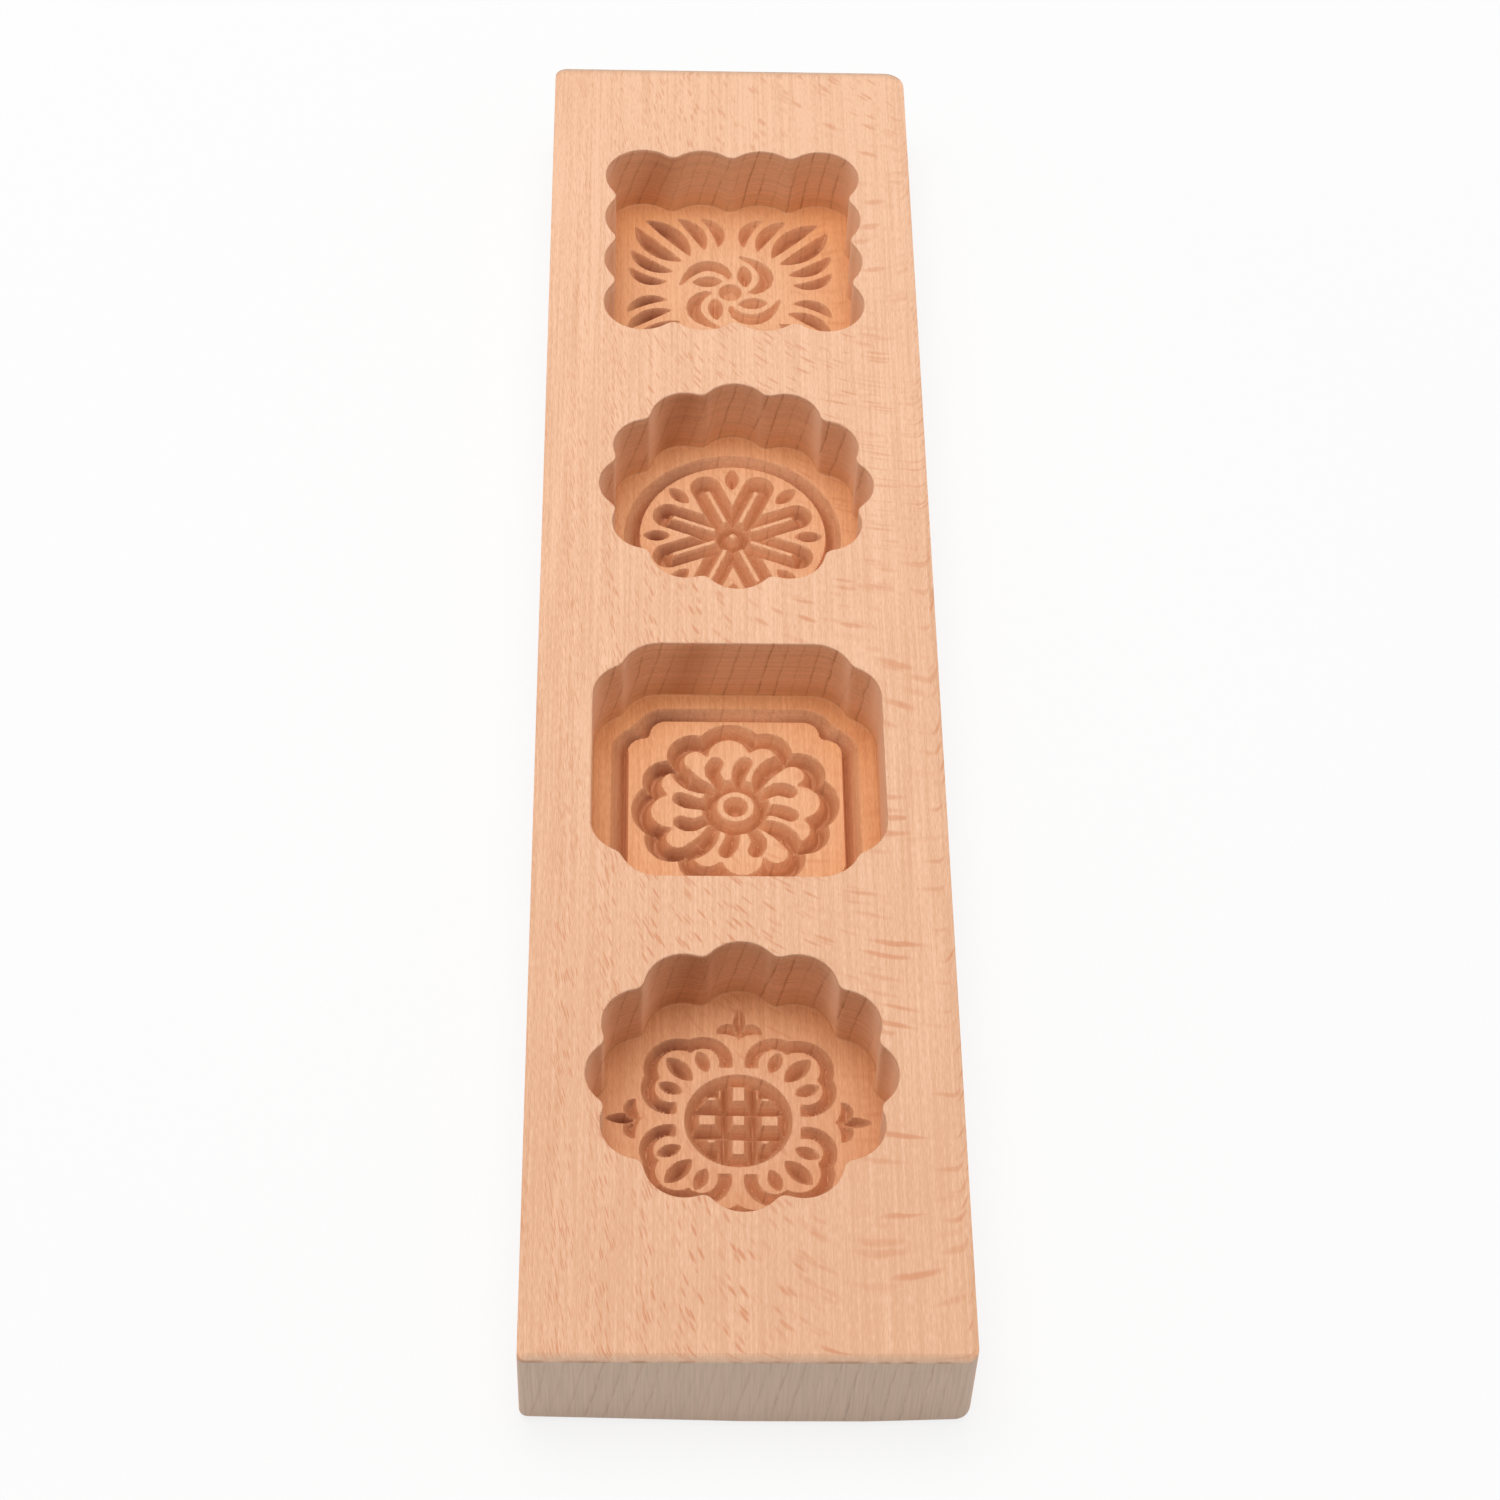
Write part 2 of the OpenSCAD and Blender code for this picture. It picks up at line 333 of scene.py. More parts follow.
def latticeCuts(x, y):
    away, deep, ease = np.hypot(x, y), carving["deep"], carving["ease"]
    bars = [np.maximum(middle - np.abs(c), np.abs(c) - side)
            for c, middle, side in zip((x, y), lattice["middle"], lattice["side"])]
    stripX, stripY = lattice["cornerStrip"]
    strip = np.maximum(stripX - np.abs(x), stripY - np.abs(y))
    blocks = np.minimum.reduce([*bars, lattice["blocksWithin"] - away, strip])
    cuts = [(softMin(lattice["disc"] - away, -blocks, ease), deep)]
    for quarter in range(4):
        u, v = turned(x, y, 90 * quarter)
        trefoil, bandOpen = lattice["trefoil"], lattice["bandOpen"]
        band = softMin(discs(u, v, trefoil, lattice["band"]), -discs(u, v, trefoil), ease)
        cuts.append((softMin(band, np.maximum(u, v) - bandOpen, lattice["bandEase"]), deep))
        cuts.append((leaf(u, v, *lattice["seed"]), deep))
        cuts += [(leaf(p, q, *lattice["sideSeed"]), deep) for p, q in ((u, v), (v, u))]
        lily = [leaf(u, v, *lattice["lily"])] + [leaf(u, side, *lattice["lilySide"]) for side in (v, -v)]
        cuts.append((np.maximum.reduce(lily), lattice["lilyDeep"]))
    return cuts


# from the far end to the near end: how far each cavity was milled off its mark and off its size, and how
# far its flower is off the cavity's middle, turned and drawn in across the board
cavityRow = (
    {"wall": squareWall, "cuts": pinwheelCuts, "astray": (0.3, 0.1), "stretch": (0.984, 0.984),
     "flowerAt": (-0.3, 0.05), "flowerTurn": -1.5, "flowerWide": 0.975},
    {"wall": roundWall, "cuts": petalCuts, "astray": (0.2, -0.25), "stretch": (0.993, 1),
     "flowerAt": (-0.4, 0.15), "flowerTurn": 0, "flowerWide": 1},
    {"wall": notchedWall, "cuts": swirlCuts, "astray": (-0.3, 0.45), "stretch": (0.996, 1),
     "flowerAt": (-0.1, 0.35), "flowerTurn": 0, "flowerWide": 1},
    {"wall": roundWall, "cuts": latticeCuts, "astray": (-0.4, -0.1), "stretch": (1, 1.015),
     "flowerAt": (-0.3, 0.2), "flowerTurn": -1, "flowerWide": 1},
)


# Board mesh

board = {
    "length": 375,
    "width": 90,
    "thick": 25,
    "corners": (5, 3, 1.5, 3),  # plan radii: far right, far left, near left, near right
    "topRound": 6.5,  # slack sanding of the top edges
    "topTurn": 24,  # degrees that it turns before it meets the side in an arris
    "baseRound": 2.2,
    "nearLean": 0.9,  # mm that the near end, sawn out of square, leans back at the top
    "nearWear": ((-45, 0, 25, 45), (1.1, 0, 0, 0.7)),  # places across it, mm that its foot is worn back there
}

meshing = {
    "gridStep": 0.36,  # mm, fine enough for the carved lips
    "gridBeyond": 4,  # mm past the reach of a cavity
    "gridMargin": 1.2,  # steps of grid round a cut
    "wallGap": 0.4,  # steps between the grid and the foot of a wall
    "flatten": 0.005,  # mm of depth taken off, so that the margin lies flat on the floor
    "leastSlope": 0.2,  # of a field, squared, where a point slides onto a lip
    "wallPoints": 480,
    "wallRows": 5,
    "rayCount": 4096,  # rays from the middle that find the wall
    "rayRange": (8.0, 50.0),  # mm
    "halvings": 40,
    "probe": 0.01,  # mm to each side for the slope of a field
    "arcRows": 7,
    "cornerPoints": 9,
    "sideStep": 6,
    "sideRow": 15,  # height of a row of points on the sides
    # strips beside a rounding that keep its shading to themselves
    "topGuard": 0.4,
    "sideGuard": 0.3,
    "footGuard": 0.75,
    "sliver": 0.0001,  # mm, a triangle nearer to the outline than this is not part of the underside
    "weld": 1e-6,  # mm, points nearer than this are one
    "crease": 32,  # degrees from which an edge is sharp
}

verts, faces, arris = [], [], set()


def addPoints(x, y, z):
    first = len(verts)
    verts.extend(zip(x, y, np.broadcast_to(z, np.shape(x))))
    return list(range(first, len(verts)))


def bridge(upper, lower):
    for i in range(len(upper)):
        faces.append((upper[i - 1], lower[i - 1], lower[i], upper[i]))


def loopEdges(loop):
    return [(loop[i - 1], loop[i]) for i in range(len(loop))]


def withinLoop(px, py, loop):
    return polygon(px, py, [verts[k][:2] for k in loop])


# triangles between closed rows of points, where keep says so
def fillBetween(edges, keep):
    used = sorted({k for edge in edges for k in edge})
    place = {k: i for i, k in enumerate(used)}
    points = [Vector(verts[k][:2]) for k in used]
    coords, _, triangles, origins, _, _ = delaunay_2d_cdt(
        points, [(place[a], place[b]) for a, b in edges], [], 0, meshing["weld"])
    middles = np.array([sum((coords[k] for k in t), Vector((0, 0))) / 3 for t in triangles])
    for triangle, wanted in zip(triangles, keep(middles[:, 0], middles[:, 1])):
        if wanted:
            faces.append(tuple(used[origins[k][0]] for k in triangle))


# even steps along the wall, with the direction out of the cavity at each
def traceWall(wall):
    angles = np.linspace(0, 2 * math.pi, meshing["rayCount"], endpoint=False)
    near, far = (np.full(angles.shape, end) for end in meshing["rayRange"])
    for _ in range(meshing["halvings"]):
        middle = (near + far) / 2
        within = wall(middle * np.cos(angles), middle * np.sin(angles)) > 0
        near, far = np.where(within, middle, near), np.where(within, far, middle)
    x, y = near * np.cos(angles), near * np.sin(angles)
    run = np.concatenate(([0], np.cumsum(np.hypot(np.diff(x, append=x[0]), np.diff(y, append=y[0])))))
    stops = np.linspace(0, run[-1], meshing["wallPoints"], endpoint=False)
    x, y = (np.interp(stops, run, np.append(c, c[0])) for c in (x, y))
    probe = meshing["probe"]
    outX, outY = wall(x - probe, y) - wall(x + probe, y), wall(x, y - probe) - wall(x, y + probe)
    size = np.hypot(outX, outY)
    return x, y, outX / size, outY / size


def cutDepth(cuts):
    depth = 0
    for inside, deepest in cuts:
        eased = 0.5 * (inside + np.sqrt(inside ** 2 + carving["lip"] ** 2)) / carving["run"]
        depth = np.maximum(depth, softMin(eased, deepest, carving["keel"]))
    return depth


def carveFloor(wall, cutter, ring, centre, floorZ):
    step = meshing["gridStep"]
    count = int((cavity["reach"] + meshing["gridBeyond"]) / step)
    x, y = np.meshgrid(np.arange(-count, count + 1) * step, np.arange(-count, count + 1) * step)

    # points close to a cut edge slide onto it, so that the lips run clean across the grid
    def lips(px, py):
        return np.maximum.reduce([inside for inside, _ in cutter(px, py)])
    here, probe = lips(x, y), 2 * meshing["probe"]
    slopeX, slopeY = (lips(x + probe, y) - here) / probe, (lips(x, y + probe) - here) / probe
    slide = here / np.maximum(slopeX ** 2 + slopeY ** 2, meshing["leastSlope"])
    away = slide * np.hypot(slopeX, slopeY)
    slide = np.where(np.abs(away) < 0.5 * step, slide, 0)
    gridX, gridY = x - slide * slopeX, y - slide * slopeY
    z = floorZ - np.maximum(cutDepth(cutter(gridX, gridY)) - meshing["flatten"], 0)

    # the grid covers the cuts and a narrow margin; the flat floor round them needs few faces
    def corners(values):
        return values[:-1, :-1], values[1:, :-1], values[:-1, 1:], values[1:, 1:]
    clear = wall(x, y) > meshing["footGuard"] + meshing["wallGap"] * step
    cells = np.maximum.reduce(corners(away)) > -meshing["gridMargin"] * step
    cells &= np.logical_and.reduce(corners(clear))
    used = np.zeros(x.shape, bool)
    for corner in corners(used):
        corner |= cells
    index = np.full(x.shape, -1)
    index[used] = addPoints(gridX[used] + centre[0], gridY[used] + centre[1], z[used])
    border = {}
    for i, j in zip(*np.nonzero(cells)):
        quad = [int(k) for k in (index[i, j], index[i, j + 1], index[i + 1, j + 1], index[i + 1, j])]
        faces.append(tuple(quad))
        for edge in loopEdges(quad):
            border[tuple(sorted(edge))] = border.get(tuple(sorted(edge)), 0) + 1

    def outsideCells(px, py):
        i, j = (np.floor((c + count * step) / step).astype(int) for c in (py - centre[1], px - centre[0]))
        i, j = np.clip(i, 0, 2 * count - 1), np.clip(j, 0, 2 * count - 1)
        return ~cells[i, j] & (withinLoop(px, py, ring) > 0)
    fillBetween([e for e, times in border.items() if times == 1] + loopEdges(ring), outsideCells)


# the wall from its rim down to the floor, as (mm outwards, height) rows
def sinkCavity(wall, cutter, centre):
    top, floorZ = board["thick"], board["thick"] - cavity["depth"]
    rim, foot = cavity["rimRound"], cavity["footRound"]
    profile = [(2 * rim, top)]
    for turn in np.radians([90, 67.5, 45, 22.5, 0]):
        profile.append((rim - rim * math.cos(turn), top - rim + rim * math.sin(turn)))
    for k in range(1, meshing["wallRows"]):
        profile.append((0, top - rim - (cavity["depth"] - rim - foot) * k / meshing["wallRows"]))
    for turn in np.radians([0, 30, 60, 90]):
        profile.append((foot * math.cos(turn) - foot, floorZ + foot - foot * math.sin(turn)))
    profile.append((-meshing["footGuard"], floorZ))
    x, y, outX, outY = traceWall(wall)
    rings = [addPoints(x + outX * out + centre[0], y + outY * out + centre[1], z) for out, z in profile]
    for upper, lower in zip(rings, rings[1:]):
        bridge(upper, lower)
    carveFloor(wall, cutter, rings[-1], centre, floorZ)
    return rings[0]


def boardPlan():
    halfX, halfY = board["width"] / 2, board["length"] / 2
    points = []
    for k, ((sx, sy), radius) in enumerate(zip(((1, 1), (-1, 1), (-1, -1), (1, -1)), board["corners"])):
        for turn in np.radians(np.linspace(90 * k, 90 * k + 90, meshing["cornerPoints"])):
            points.append((sx * (halfX - radius) + radius * math.cos(turn),
                           sy * (halfY - radius) + radius * math.sin(turn)))
    steps = []
    for (ax, ay), (bx, by) in zip(points, points[1:] + points[:1]):
        pieces = max(1, round(math.dist((ax, ay), (bx, by)) / meshing["sideStep"]))
        steps += [(ax + (bx - ax) * i / pieces, ay + (by - ay) * i / pieces) for i in range(pieces)]
    return np.array(steps).T


# plan rows all have the same count, so each is the outer row drawn in towards its own middle line
def planRow(inset, z, outer):
    x, y = outer
    radius, high = max(board["corners"]), z / board["thick"]
    halfX, halfY = board["width"] / 2, board["length"] / 2
    backX = np.sign(x) * np.maximum(np.abs(x) - halfX + radius, 0)
    backY = np.sign(y) * np.maximum(np.abs(y) - halfY + radius, 0)
    worn = np.interp(x, *board["nearWear"]) * (1 - high)
    lean = (board["nearLean"] * high + worn) * (y < radius - halfY)
    return addPoints(x - inset * backX / radius, y - inset * backY / radius + lean, z)


# the sides from the top down to the underside, as (mm inwards, height) rows
def boardProfile():
    top, turnEnd, arcRows = board["thick"], math.radians(board["topTurn"]), meshing["arcRows"]
    topRound, baseRound = board["topRound"], board["baseRound"]
    reach, guard = topRound * math.sin(turnEnd), meshing["sideGuard"]
    profile = [(reach + meshing["topGuard"], top)]
    for turn in np.linspace(0, turnEnd, arcRows):
        profile.append((reach - topRound * math.sin(turn), top - topRound * (1 - math.cos(turn))))
    profile += [(0, profile[-1][1] - guard), (0, meshing["sideRow"]), (0, baseRound + guard)]
    for turn in np.radians(np.linspace(0, 90, arcRows)):
        profile.append((baseRound * (1 - math.cos(turn)), baseRound * (1 - math.sin(turn))))
    return profile


def buildBoard():
    outer = boardPlan()
    rows = [planRow(inset, z, outer) for inset, z in boardProfile()]
    for upper, lower in zip(rows, rows[1:]):
        bridge(upper, lower)
    arris.update(rows[meshing["arcRows"]])

    rims = []
    for place, milled in enumerate(cavityRow):
        def wallHere(px, py):
            return milled["wall"](px / milled["stretch"][0], py / milled["stretch"][1])

        def cutsHere(px, py):
            u, v = (px - milled["flowerAt"][0]) / milled["flowerWide"], py - milled["flowerAt"][1]
            return milled["cuts"](*turned(u, v, milled["flowerTurn"]))
        astrayX, astrayY = milled["astray"]
        centre = astrayX, astrayY + cavity["rowShift"] + (1.5 - place) * cavity["pitch"]
        rims.append(sinkCavity(wallHere, cutsHere, centre))
        print("cavity", place + 1, "carved,", len(faces), "faces so far")

    def onTop(px, py):
        return np.maximum.reduce([withinLoop(px, py, rim) for rim in rims]) < 0
    fillBetween(loopEdges(rows[0]) + [edge for rim in rims for edge in loopEdges(rim)], onTop)
    fillBetween(loopEdges(rows[-1]), lambda px, py: withinLoop(px, py, rows[-1]) > meshing["sliver"])

    mesh = bpy.data.meshes.new("moldBoard")
    mesh.from_pydata([(x * mm, y * mm, z * mm) for x, y, z in verts], [], faces)
    form = bmesh.new()
    form.from_mesh(mesh)
    bmesh.ops.recalc_face_normals(form, faces=form.faces)
    for face in form.faces:
        face.smooth = True
    for edge in form.edges:
        ends = {v.index for v in edge.verts}
        if ends <= arris or edge.calc_face_angle(0) > math.radians(meshing["crease"]):
            edge.smooth = False
    triangles = sum(len(f.verts) - 2 for f in form.faces)
    openEdges = sum(not e.is_manifold for e in form.edges)
    litres = form.calc_volume() * 1000
    print("board:", triangles, "triangles,", openEdges, "open edges,", round(litres, 3), "litres of wood")
    form.to_mesh(mesh)
    form.free()
    piece = bpy.data.objects.new("moldBoard", mesh)
    bpy.context.collection.objects.link(piece)
    return piece


moldBoard = buildBoard()


# Materials

def hexColour(text):
    parts = [int(text[i:i + 2], 16) / 255 for i in (1, 3, 5)]
    return tuple(p / 12.92 if p <= 0.04045 else ((p + 0.055) / 1.055) ** 2.4 for p in parts) + (1,)


def addNode(tree, kind, links=None, **settings):
    node = tree.nodes.new("ShaderNode" + kind)
    for name, value in settings.items():
        setattr(node, name, value)
    for socket, source in (links or {}).items():
        if isinstance(source, bpy.types.NodeSocket):
            tree.links.new(source, node.inputs[socket])
        else:
            node.inputs[socket].default_value = source
    return node.outputs


# a point's place on the board in mm, its share of the length from the near end, and its facing
def boardPlace(tree):
    coords = addNode(tree, "TexCoord")
    inMm = addNode(tree, "VectorMath", {0: coords["Object"], "Scale": 1 / mm}, operation="SCALE")[0]
    x, y, z = addNode(tree, "SeparateXYZ", {0: inMm})
    half = board["length"] / 2
    along = addNode(tree, "MapRange", {0: y, 1: -half, 2: half})[0]
    facing = addNode(tree, "SeparateXYZ", {0: coords["Normal"]})
    return {"tree": tree, "inMm": inMm, "x": x, "y": y, "z": z, "along": along, "facing": facing}


# a noise stretched to the given size in mm along x, y and z
def stretched(at, size, detail):
    perMm = [1 / mmSize for mmSize in size]
    scaled = addNode(at["tree"], "VectorMath", {0: at["inMm"], 1: perMm}, operation="MULTIPLY")[0]
    return addNode(at["tree"], "TexNoise", {"Vector": scaled, "Scale": 1.0, "Detail": detail})["Fac"]


# year rings: flat arcs that cross the board's thickness with a lean, and wander slowly
years = {
    "wide": 3.6,  # mm between year lines
    "leanLeft": (0.18, 0.45),  # mm across for each mm down, near end and far end
    "leanRight": (0.1, 0.1),
    "drift": ((50, 200, 4.0), (5, 60, 0.9)),  # each a noise: mm across, mm along, mm of drift
    "lateWood": (0.66, 0.95),  # the part of a year that darkens
    "latePower": 3.0,
    "faintest": 0.3,
    "breakSize": (3, 60, 4),  # mm
    "breakFrom": (0.34, 0.56),  # the noise in which a line breaks up
    "breakLeft": 0.25,
}


def yearLines(at, look):
    tree, x, z, along = (at[k] for k in ("tree", "x", "z", "along"))
    half = board["width"] / 2
    leanLeft, leanRight = (
        addNode(tree, "MapRange", {0: along, 3: near, 4: far})[0]
        for near, far in (look["leanLeft"], look["leanRight"]))
    lean = addNode(tree, "MapRange", {0: x, 1: -half, 2: half, 3: leanLeft, 4: leanRight})[0]
    below = addNode(tree, "Math", {0: board["thick"], 1: z}, operation="SUBTRACT")[0]
    sloped = addNode(tree, "Math", {0: below, 1: lean, 2: x}, operation="MULTIPLY_ADD")[0]
    drift = sloped
    for wide, long, far in look["drift"]:
        noise = stretched(at, (wide, long, wide), 1)
        drift = addNode(tree, "Math", {0: noise, 1: far, 2: drift}, operation="MULTIPLY_ADD")[0]
    year = addNode(tree, "Math", {0: drift, 1: look["wide"]}, operation="DIVIDE")[0]
    inYear = addNode(tree, "Math", {0: year}, operation="FRACT")[0]
    whichYear = addNode(tree, "Math", {0: year}, operation="FLOOR")[0]
    random = addNode(tree, "TexWhiteNoise", {"W": whichYear}, noise_dimensions="1D")["Value"]
    lateFrom, lateTo = look["lateWood"]
    rise = addNode(tree, "MapRange", {0: inYear, 1: lateFrom, 2: lateTo})[0]
    rise = addNode(tree, "Math", {0: rise, 1: look["latePower"]}, operation="POWER")[0]
    fall = addNode(tree, "MapRange", {0: inYear, 1: lateTo, 2: 1.0, 3: 1.0, 4: 0.0})[0]
    strong = addNode(tree, "MapRange", {0: random, 3: look["faintest"], 4: 1.0})[0]
    breakFrom, breakTo = look["breakFrom"]
    whole = addNode(tree, "MapRange", {
        0: stretched(at, look["breakSize"], 2), 1: breakFrom, 2: breakTo, 3: look["breakLeft"], 4: 1.0})[0]
    line = rise
    for share in (fall, strong, whole):
        line = addNode(tree, "Math", {0: line, 1: share}, operation="MULTIPLY")[0]
    return sloped, line


# rays: thin plates that cut the top steeply on the left and almost flat on the right, so that they show as
# small dashes there and as long soft flecks on the right near the front
rays = {
    "lean": 0.09,  # mm that the plates drop for each mm across, at the middle of the board
    "bend": 18,  # mm across in which that lean falls to about a third
    "far": 0.06,  # lean added at the far end
    "farFrom": 0.35,
    "dive": 0.11,  # mm that they climb for each mm along it
    "wobble": ((70, 90, 0, 10.0), (7, 9, 1, 0.18)),  # each a noise: mm across, mm along, detail, mm of drop
    "small": (9, 0.21, 4.2),  # mm between rays across the board, through the plates and along the grain
    "large": (17, 0.27, 7),
    "reach": (0.5, 0.46),  # a fleck's part of its cell, at the left and the right
    "core": 0.42,
    "strong": (0.25, 0.8),
    "largeFrom": (18.0, 43.0),  # mm across
    "largeLean": -0.1,
    "largeShare": 0.85,
    "smallFar": 0.55,
}


def rayFlecks(at, look):
    tree, x, y, z, along = (at[k] for k in ("tree", "x", "y", "z", "along"))
    leaned = addNode(tree, "Math", {0: x, 1: -look["bend"]}, operation="DIVIDE")[0]
    leaned = addNode(tree, "Math", {0: leaned}, operation="EXPONENT")[0]
    drop = -look["lean"] * look["bend"]
    plate = addNode(tree, "Math", {0: leaned, 1: drop, 2: z}, operation="MULTIPLY_ADD")[0]
    plate = addNode(tree, "Math", {0: y, 1: look["dive"], 2: plate}, operation="MULTIPLY_ADD")[0]
    for wide, long, detail, drop in look["wobble"]:
        noise = stretched(at, (wide, long, wide), detail)
        plate = addNode(tree, "Math", {0: noise, 1: drop, 2: plate}, operation="MULTIPLY_ADD")[0]
    farther = addNode(tree, "MapRange", {0: along, 1: look["farFrom"]})[0]
    farX = addNode(tree, "Math", {0: farther, 1: x}, operation="MULTIPLY")[0]
    plate = addNode(tree, "Math", {0: farX, 1: look["far"], 2: plate}, operation="MULTIPLY_ADD")[0]
    rayAt = addNode(tree, "CombineXYZ", {0: x, 1: plate, 2: y})[0]

    half, (reachLeft, reachRight) = board["width"] / 2, look["reach"]
    reach = addNode(tree, "MapRange", {0: x, 1: -half, 2: half, 3: reachLeft, 4: reachRight})[0]
    core = addNode(tree, "Math", {0: reach, 1: look["core"]}, operation="MULTIPLY")[0]
    strongFrom, strongTo = look["strong"]
    largeFrom, largeTo = look["largeFrom"]
    smallShare = addNode(tree, "MapRange", {0: along, 3: 1.0, 4: look["smallFar"]})[0]
    flecks = []
    for size, share in ((look["small"], smallShare), (look["large"], look["largeShare"])):
        cellAt = addNode(tree, "VectorMath", {0: rayAt, 1: [1 / c for c in size]}, operation="MULTIPLY")[0]
        cell = addNode(tree, "TexVoronoi", {"Vector": cellAt, "Scale": 1.0})
        fleck = addNode(tree, "MapRange", {
            0: cell["Distance"], 1: reach, 2: core}, interpolation_type="SMOOTHSTEP")[0]
        random = addNode(tree, "SeparateColor", {0: cell["Color"]})[0]
        strong = addNode(tree, "MapRange", {0: random, 1: strongFrom, 2: strongTo})[0]
        fleck = addNode(tree, "Math", {0: fleck, 1: strong}, operation="MULTIPLY")[0]
        flecks.append(addNode(tree, "Math", {0: fleck, 1: share}, operation="MULTIPLY")[0])
    rightward = addNode(tree, "Math", {0: y, 1: look["largeLean"], 2: x}, operation="MULTIPLY_ADD")[0]
    isLarge = addNode(tree, "MapRange", {0: rightward, 1: largeFrom, 2: largeTo})[0]
    return addNode(tree, "Mix", {0: isLarge, 2: flecks[0], 3: flecks[1]})[0]


# where a face lies: on an outer end, in a hollow, in a carved cut, or on a wall across the grain
faceZones = {
    "crossCut": (0.35, 0.9),  # how much a face looks along the board
    "endFace": (0.15, 0.6),
    "endDeep": 2.7,  # mm in from an end that still belong to it
    "wallGrey": 0.3,  # share of an end's grey on a wall across the grain
    "burr": (0.1, 0.22),  # mm below the arris, half width
    "border": 4,  # mm along the outside that no hollow reaches
    "rim": (0.2, 1.2),  # mm below the top
    "cut": (0.02, 2.5),  # mm below the floor
    "cutPower": 0.4,
    "deep": (1.6, 3.3),
    "cutLongShare": 0.15,
    "upright": (0.35, 0.15),
    # share of painted light on the lower part of the walls across the grain, where light off the floor falls
    "lowWallLight": 0.4,
    "footing": (12.0, 34.0),  # mm from the middle of a cavity, over which painted shade grows on the floor towards its wall
    "footHigh": 6,
    "roundOver": (0.0, 0.4),
    "upward": 0.5,
}


def placeZones(at, look):
    tree, x, y, z, facing = (at[k] for k in ("tree", "x", "y", "z", "facing"))
    top, floorZ = board["thick"], board["thick"] - cavity["depth"]
    halfX, halfY = board["width"] / 2, board["length"] / 2
    endward, fromSpine, fromMiddle = (
        addNode(tree, "Math", {0: c}, operation="ABSOLUTE")[0] for c in (facing["Y"], x, y))

    # distance from the middle of the nearest cavity
    pitch, rowShift = cavity["pitch"], cavity["rowShift"]
    inCell = addNode(
        tree, "Math", {0: y, 1: rowShift - 2 * pitch, 2: rowShift - pitch}, operation="WRAP")[0]
    inCell = addNode(tree, "Math", {0: inCell, 1: rowShift - 1.5 * pitch}, operation="SUBTRACT")[0]
    fromCentre = addNode(tree, "CombineXYZ", {0: x, 1: inCell})[0]
    fromCentre = addNode(tree, "VectorMath", {0: fromCentre}, operation="LENGTH")["Value"]

    zone = {name: look[name] for name in ("wallGrey", "lowWallLight")}
    tests = (
        ("outerEnd", fromMiddle, "GREATER_THAN", halfY - look["endDeep"]),
        ("upward", facing["Z"], "GREATER_THAN", look["upward"]),
        ("withinX", fromSpine, "LESS_THAN", halfX - look["border"]),
        ("withinY", fromMiddle, "LESS_THAN", halfY - look["border"]))
    for name, value, test, limit in tests:
        zone[name] = addNode(tree, "Math", {0: value, 1: limit}, operation=test)[0]
    arrisZ = top - board["topRound"] * (1 - math.cos(math.radians(board["topTurn"])))
    burrBelow, burrHalf = look["burr"]
    zone["nearArris"] = addNode(
        tree, "Math", {0: z, 1: arrisZ - burrBelow, 2: burrHalf}, operation="COMPARE")[0]

    slopes = (
        ("crossCut", endward, look["crossCut"], "SMOOTHSTEP"),
        ("endFace", endward, look["endFace"], "LINEAR"),
        ("turnedOver", endward, look["roundOver"], "LINEAR"),
        ("upright", facing["Z"], look["upright"], "LINEAR"),
        ("sunk", z, [top - c for c in look["rim"]], "LINEAR"),
        ("cut", z, [floorZ - c for c in look["cut"]], "LINEAR"),
        ("bottom", z, [floorZ - c for c in look["deep"]], "LINEAR"),
        ("lowOnWall", z, (top, floorZ), "LINEAR"),
        ("atFoot", z, (floorZ + look["footHigh"], floorZ), "LINEAR"),
        ("wallward", fromCentre, look["footing"], "LINEAR"))
    for name, value, (start, end), blend in slopes:
        zone[name] = addNode(tree, "MapRange", {0: value, 1: start, 2: end}, interpolation_type=blend)[0]
    zone["cut"] = addNode(tree, "Math", {0: zone["cut"], 1: look["cutPower"]}, operation="POWER")[0]
    zone["endShare"] = addNode(tree, "MapRange", {0: zone["crossCut"], 3: look["cutLongShare"], 4: 1.0})[0]
    zone["withGrain"] = addNode(tree, "Math", {0: 1.0, 1: zone["crossCut"]}, operation="SUBTRACT")[0]

    products = (
        ("inRow", "withinX", "withinY"),
        ("greyWall", "crossCut", "wallGrey"),
        ("burr", "nearArris", "outerEnd"),
        ("roundOver", "turnedOver", "outerEnd", "upward"),
        ("hollow", "sunk", "inRow"),
        ("carved", "cut", "inRow"),
        ("deep", "bottom", "inRow"),
        ("carvedEnd", "carved", "endShare"),
        ("carvedLong", "carved", "withGrain"),
        ("wall", "upright", "hollow"),
        ("longWall", "wall", "withGrain"),
        ("endWall", "wall", "crossCut"),
        ("lowEndLit", "endWall", "lowOnWall", "lowWallLight"),
        ("onFooting", "wallward", "atFoot"))
    for name, first, *others in products:
        zone[name] = zone[first]
        for other in others:
            zone[name] = addNode(tree, "Math", {0: zone[name], 1: zone[other]}, operation="MULTIPLY")[0]

    zone["sawn"] = addNode(tree, "Mix", {0: zone["outerEnd"], 2: zone["greyWall"], 3: zone["endFace"]})[0]
    # painted shade over each hollow, but not on its walls along the grain
    zone["tinted"] = addNode(tree, "Math", {0: zone["hollow"], 1: zone["longWall"]}, operation="SUBTRACT")[0]
    # painted light: walls along the grain, and walls across it towards their foot, made paler
    zone["palerWall"] = addNode(tree, "Math", {0: zone["longWall"], 1: zone["lowEndLit"]}, operation="ADD")[0]
    # painted shade on the floor towards the wall, off the cuts
    uncut = addNode(tree, "Math", {0: zone["inRow"], 1: zone["carved"]}, operation="SUBTRACT")[0]
    zone["footing"] = addNode(tree, "Math", {0: zone["onFooting"], 1: uncut}, operation="MULTIPLY")[0]
    return zone


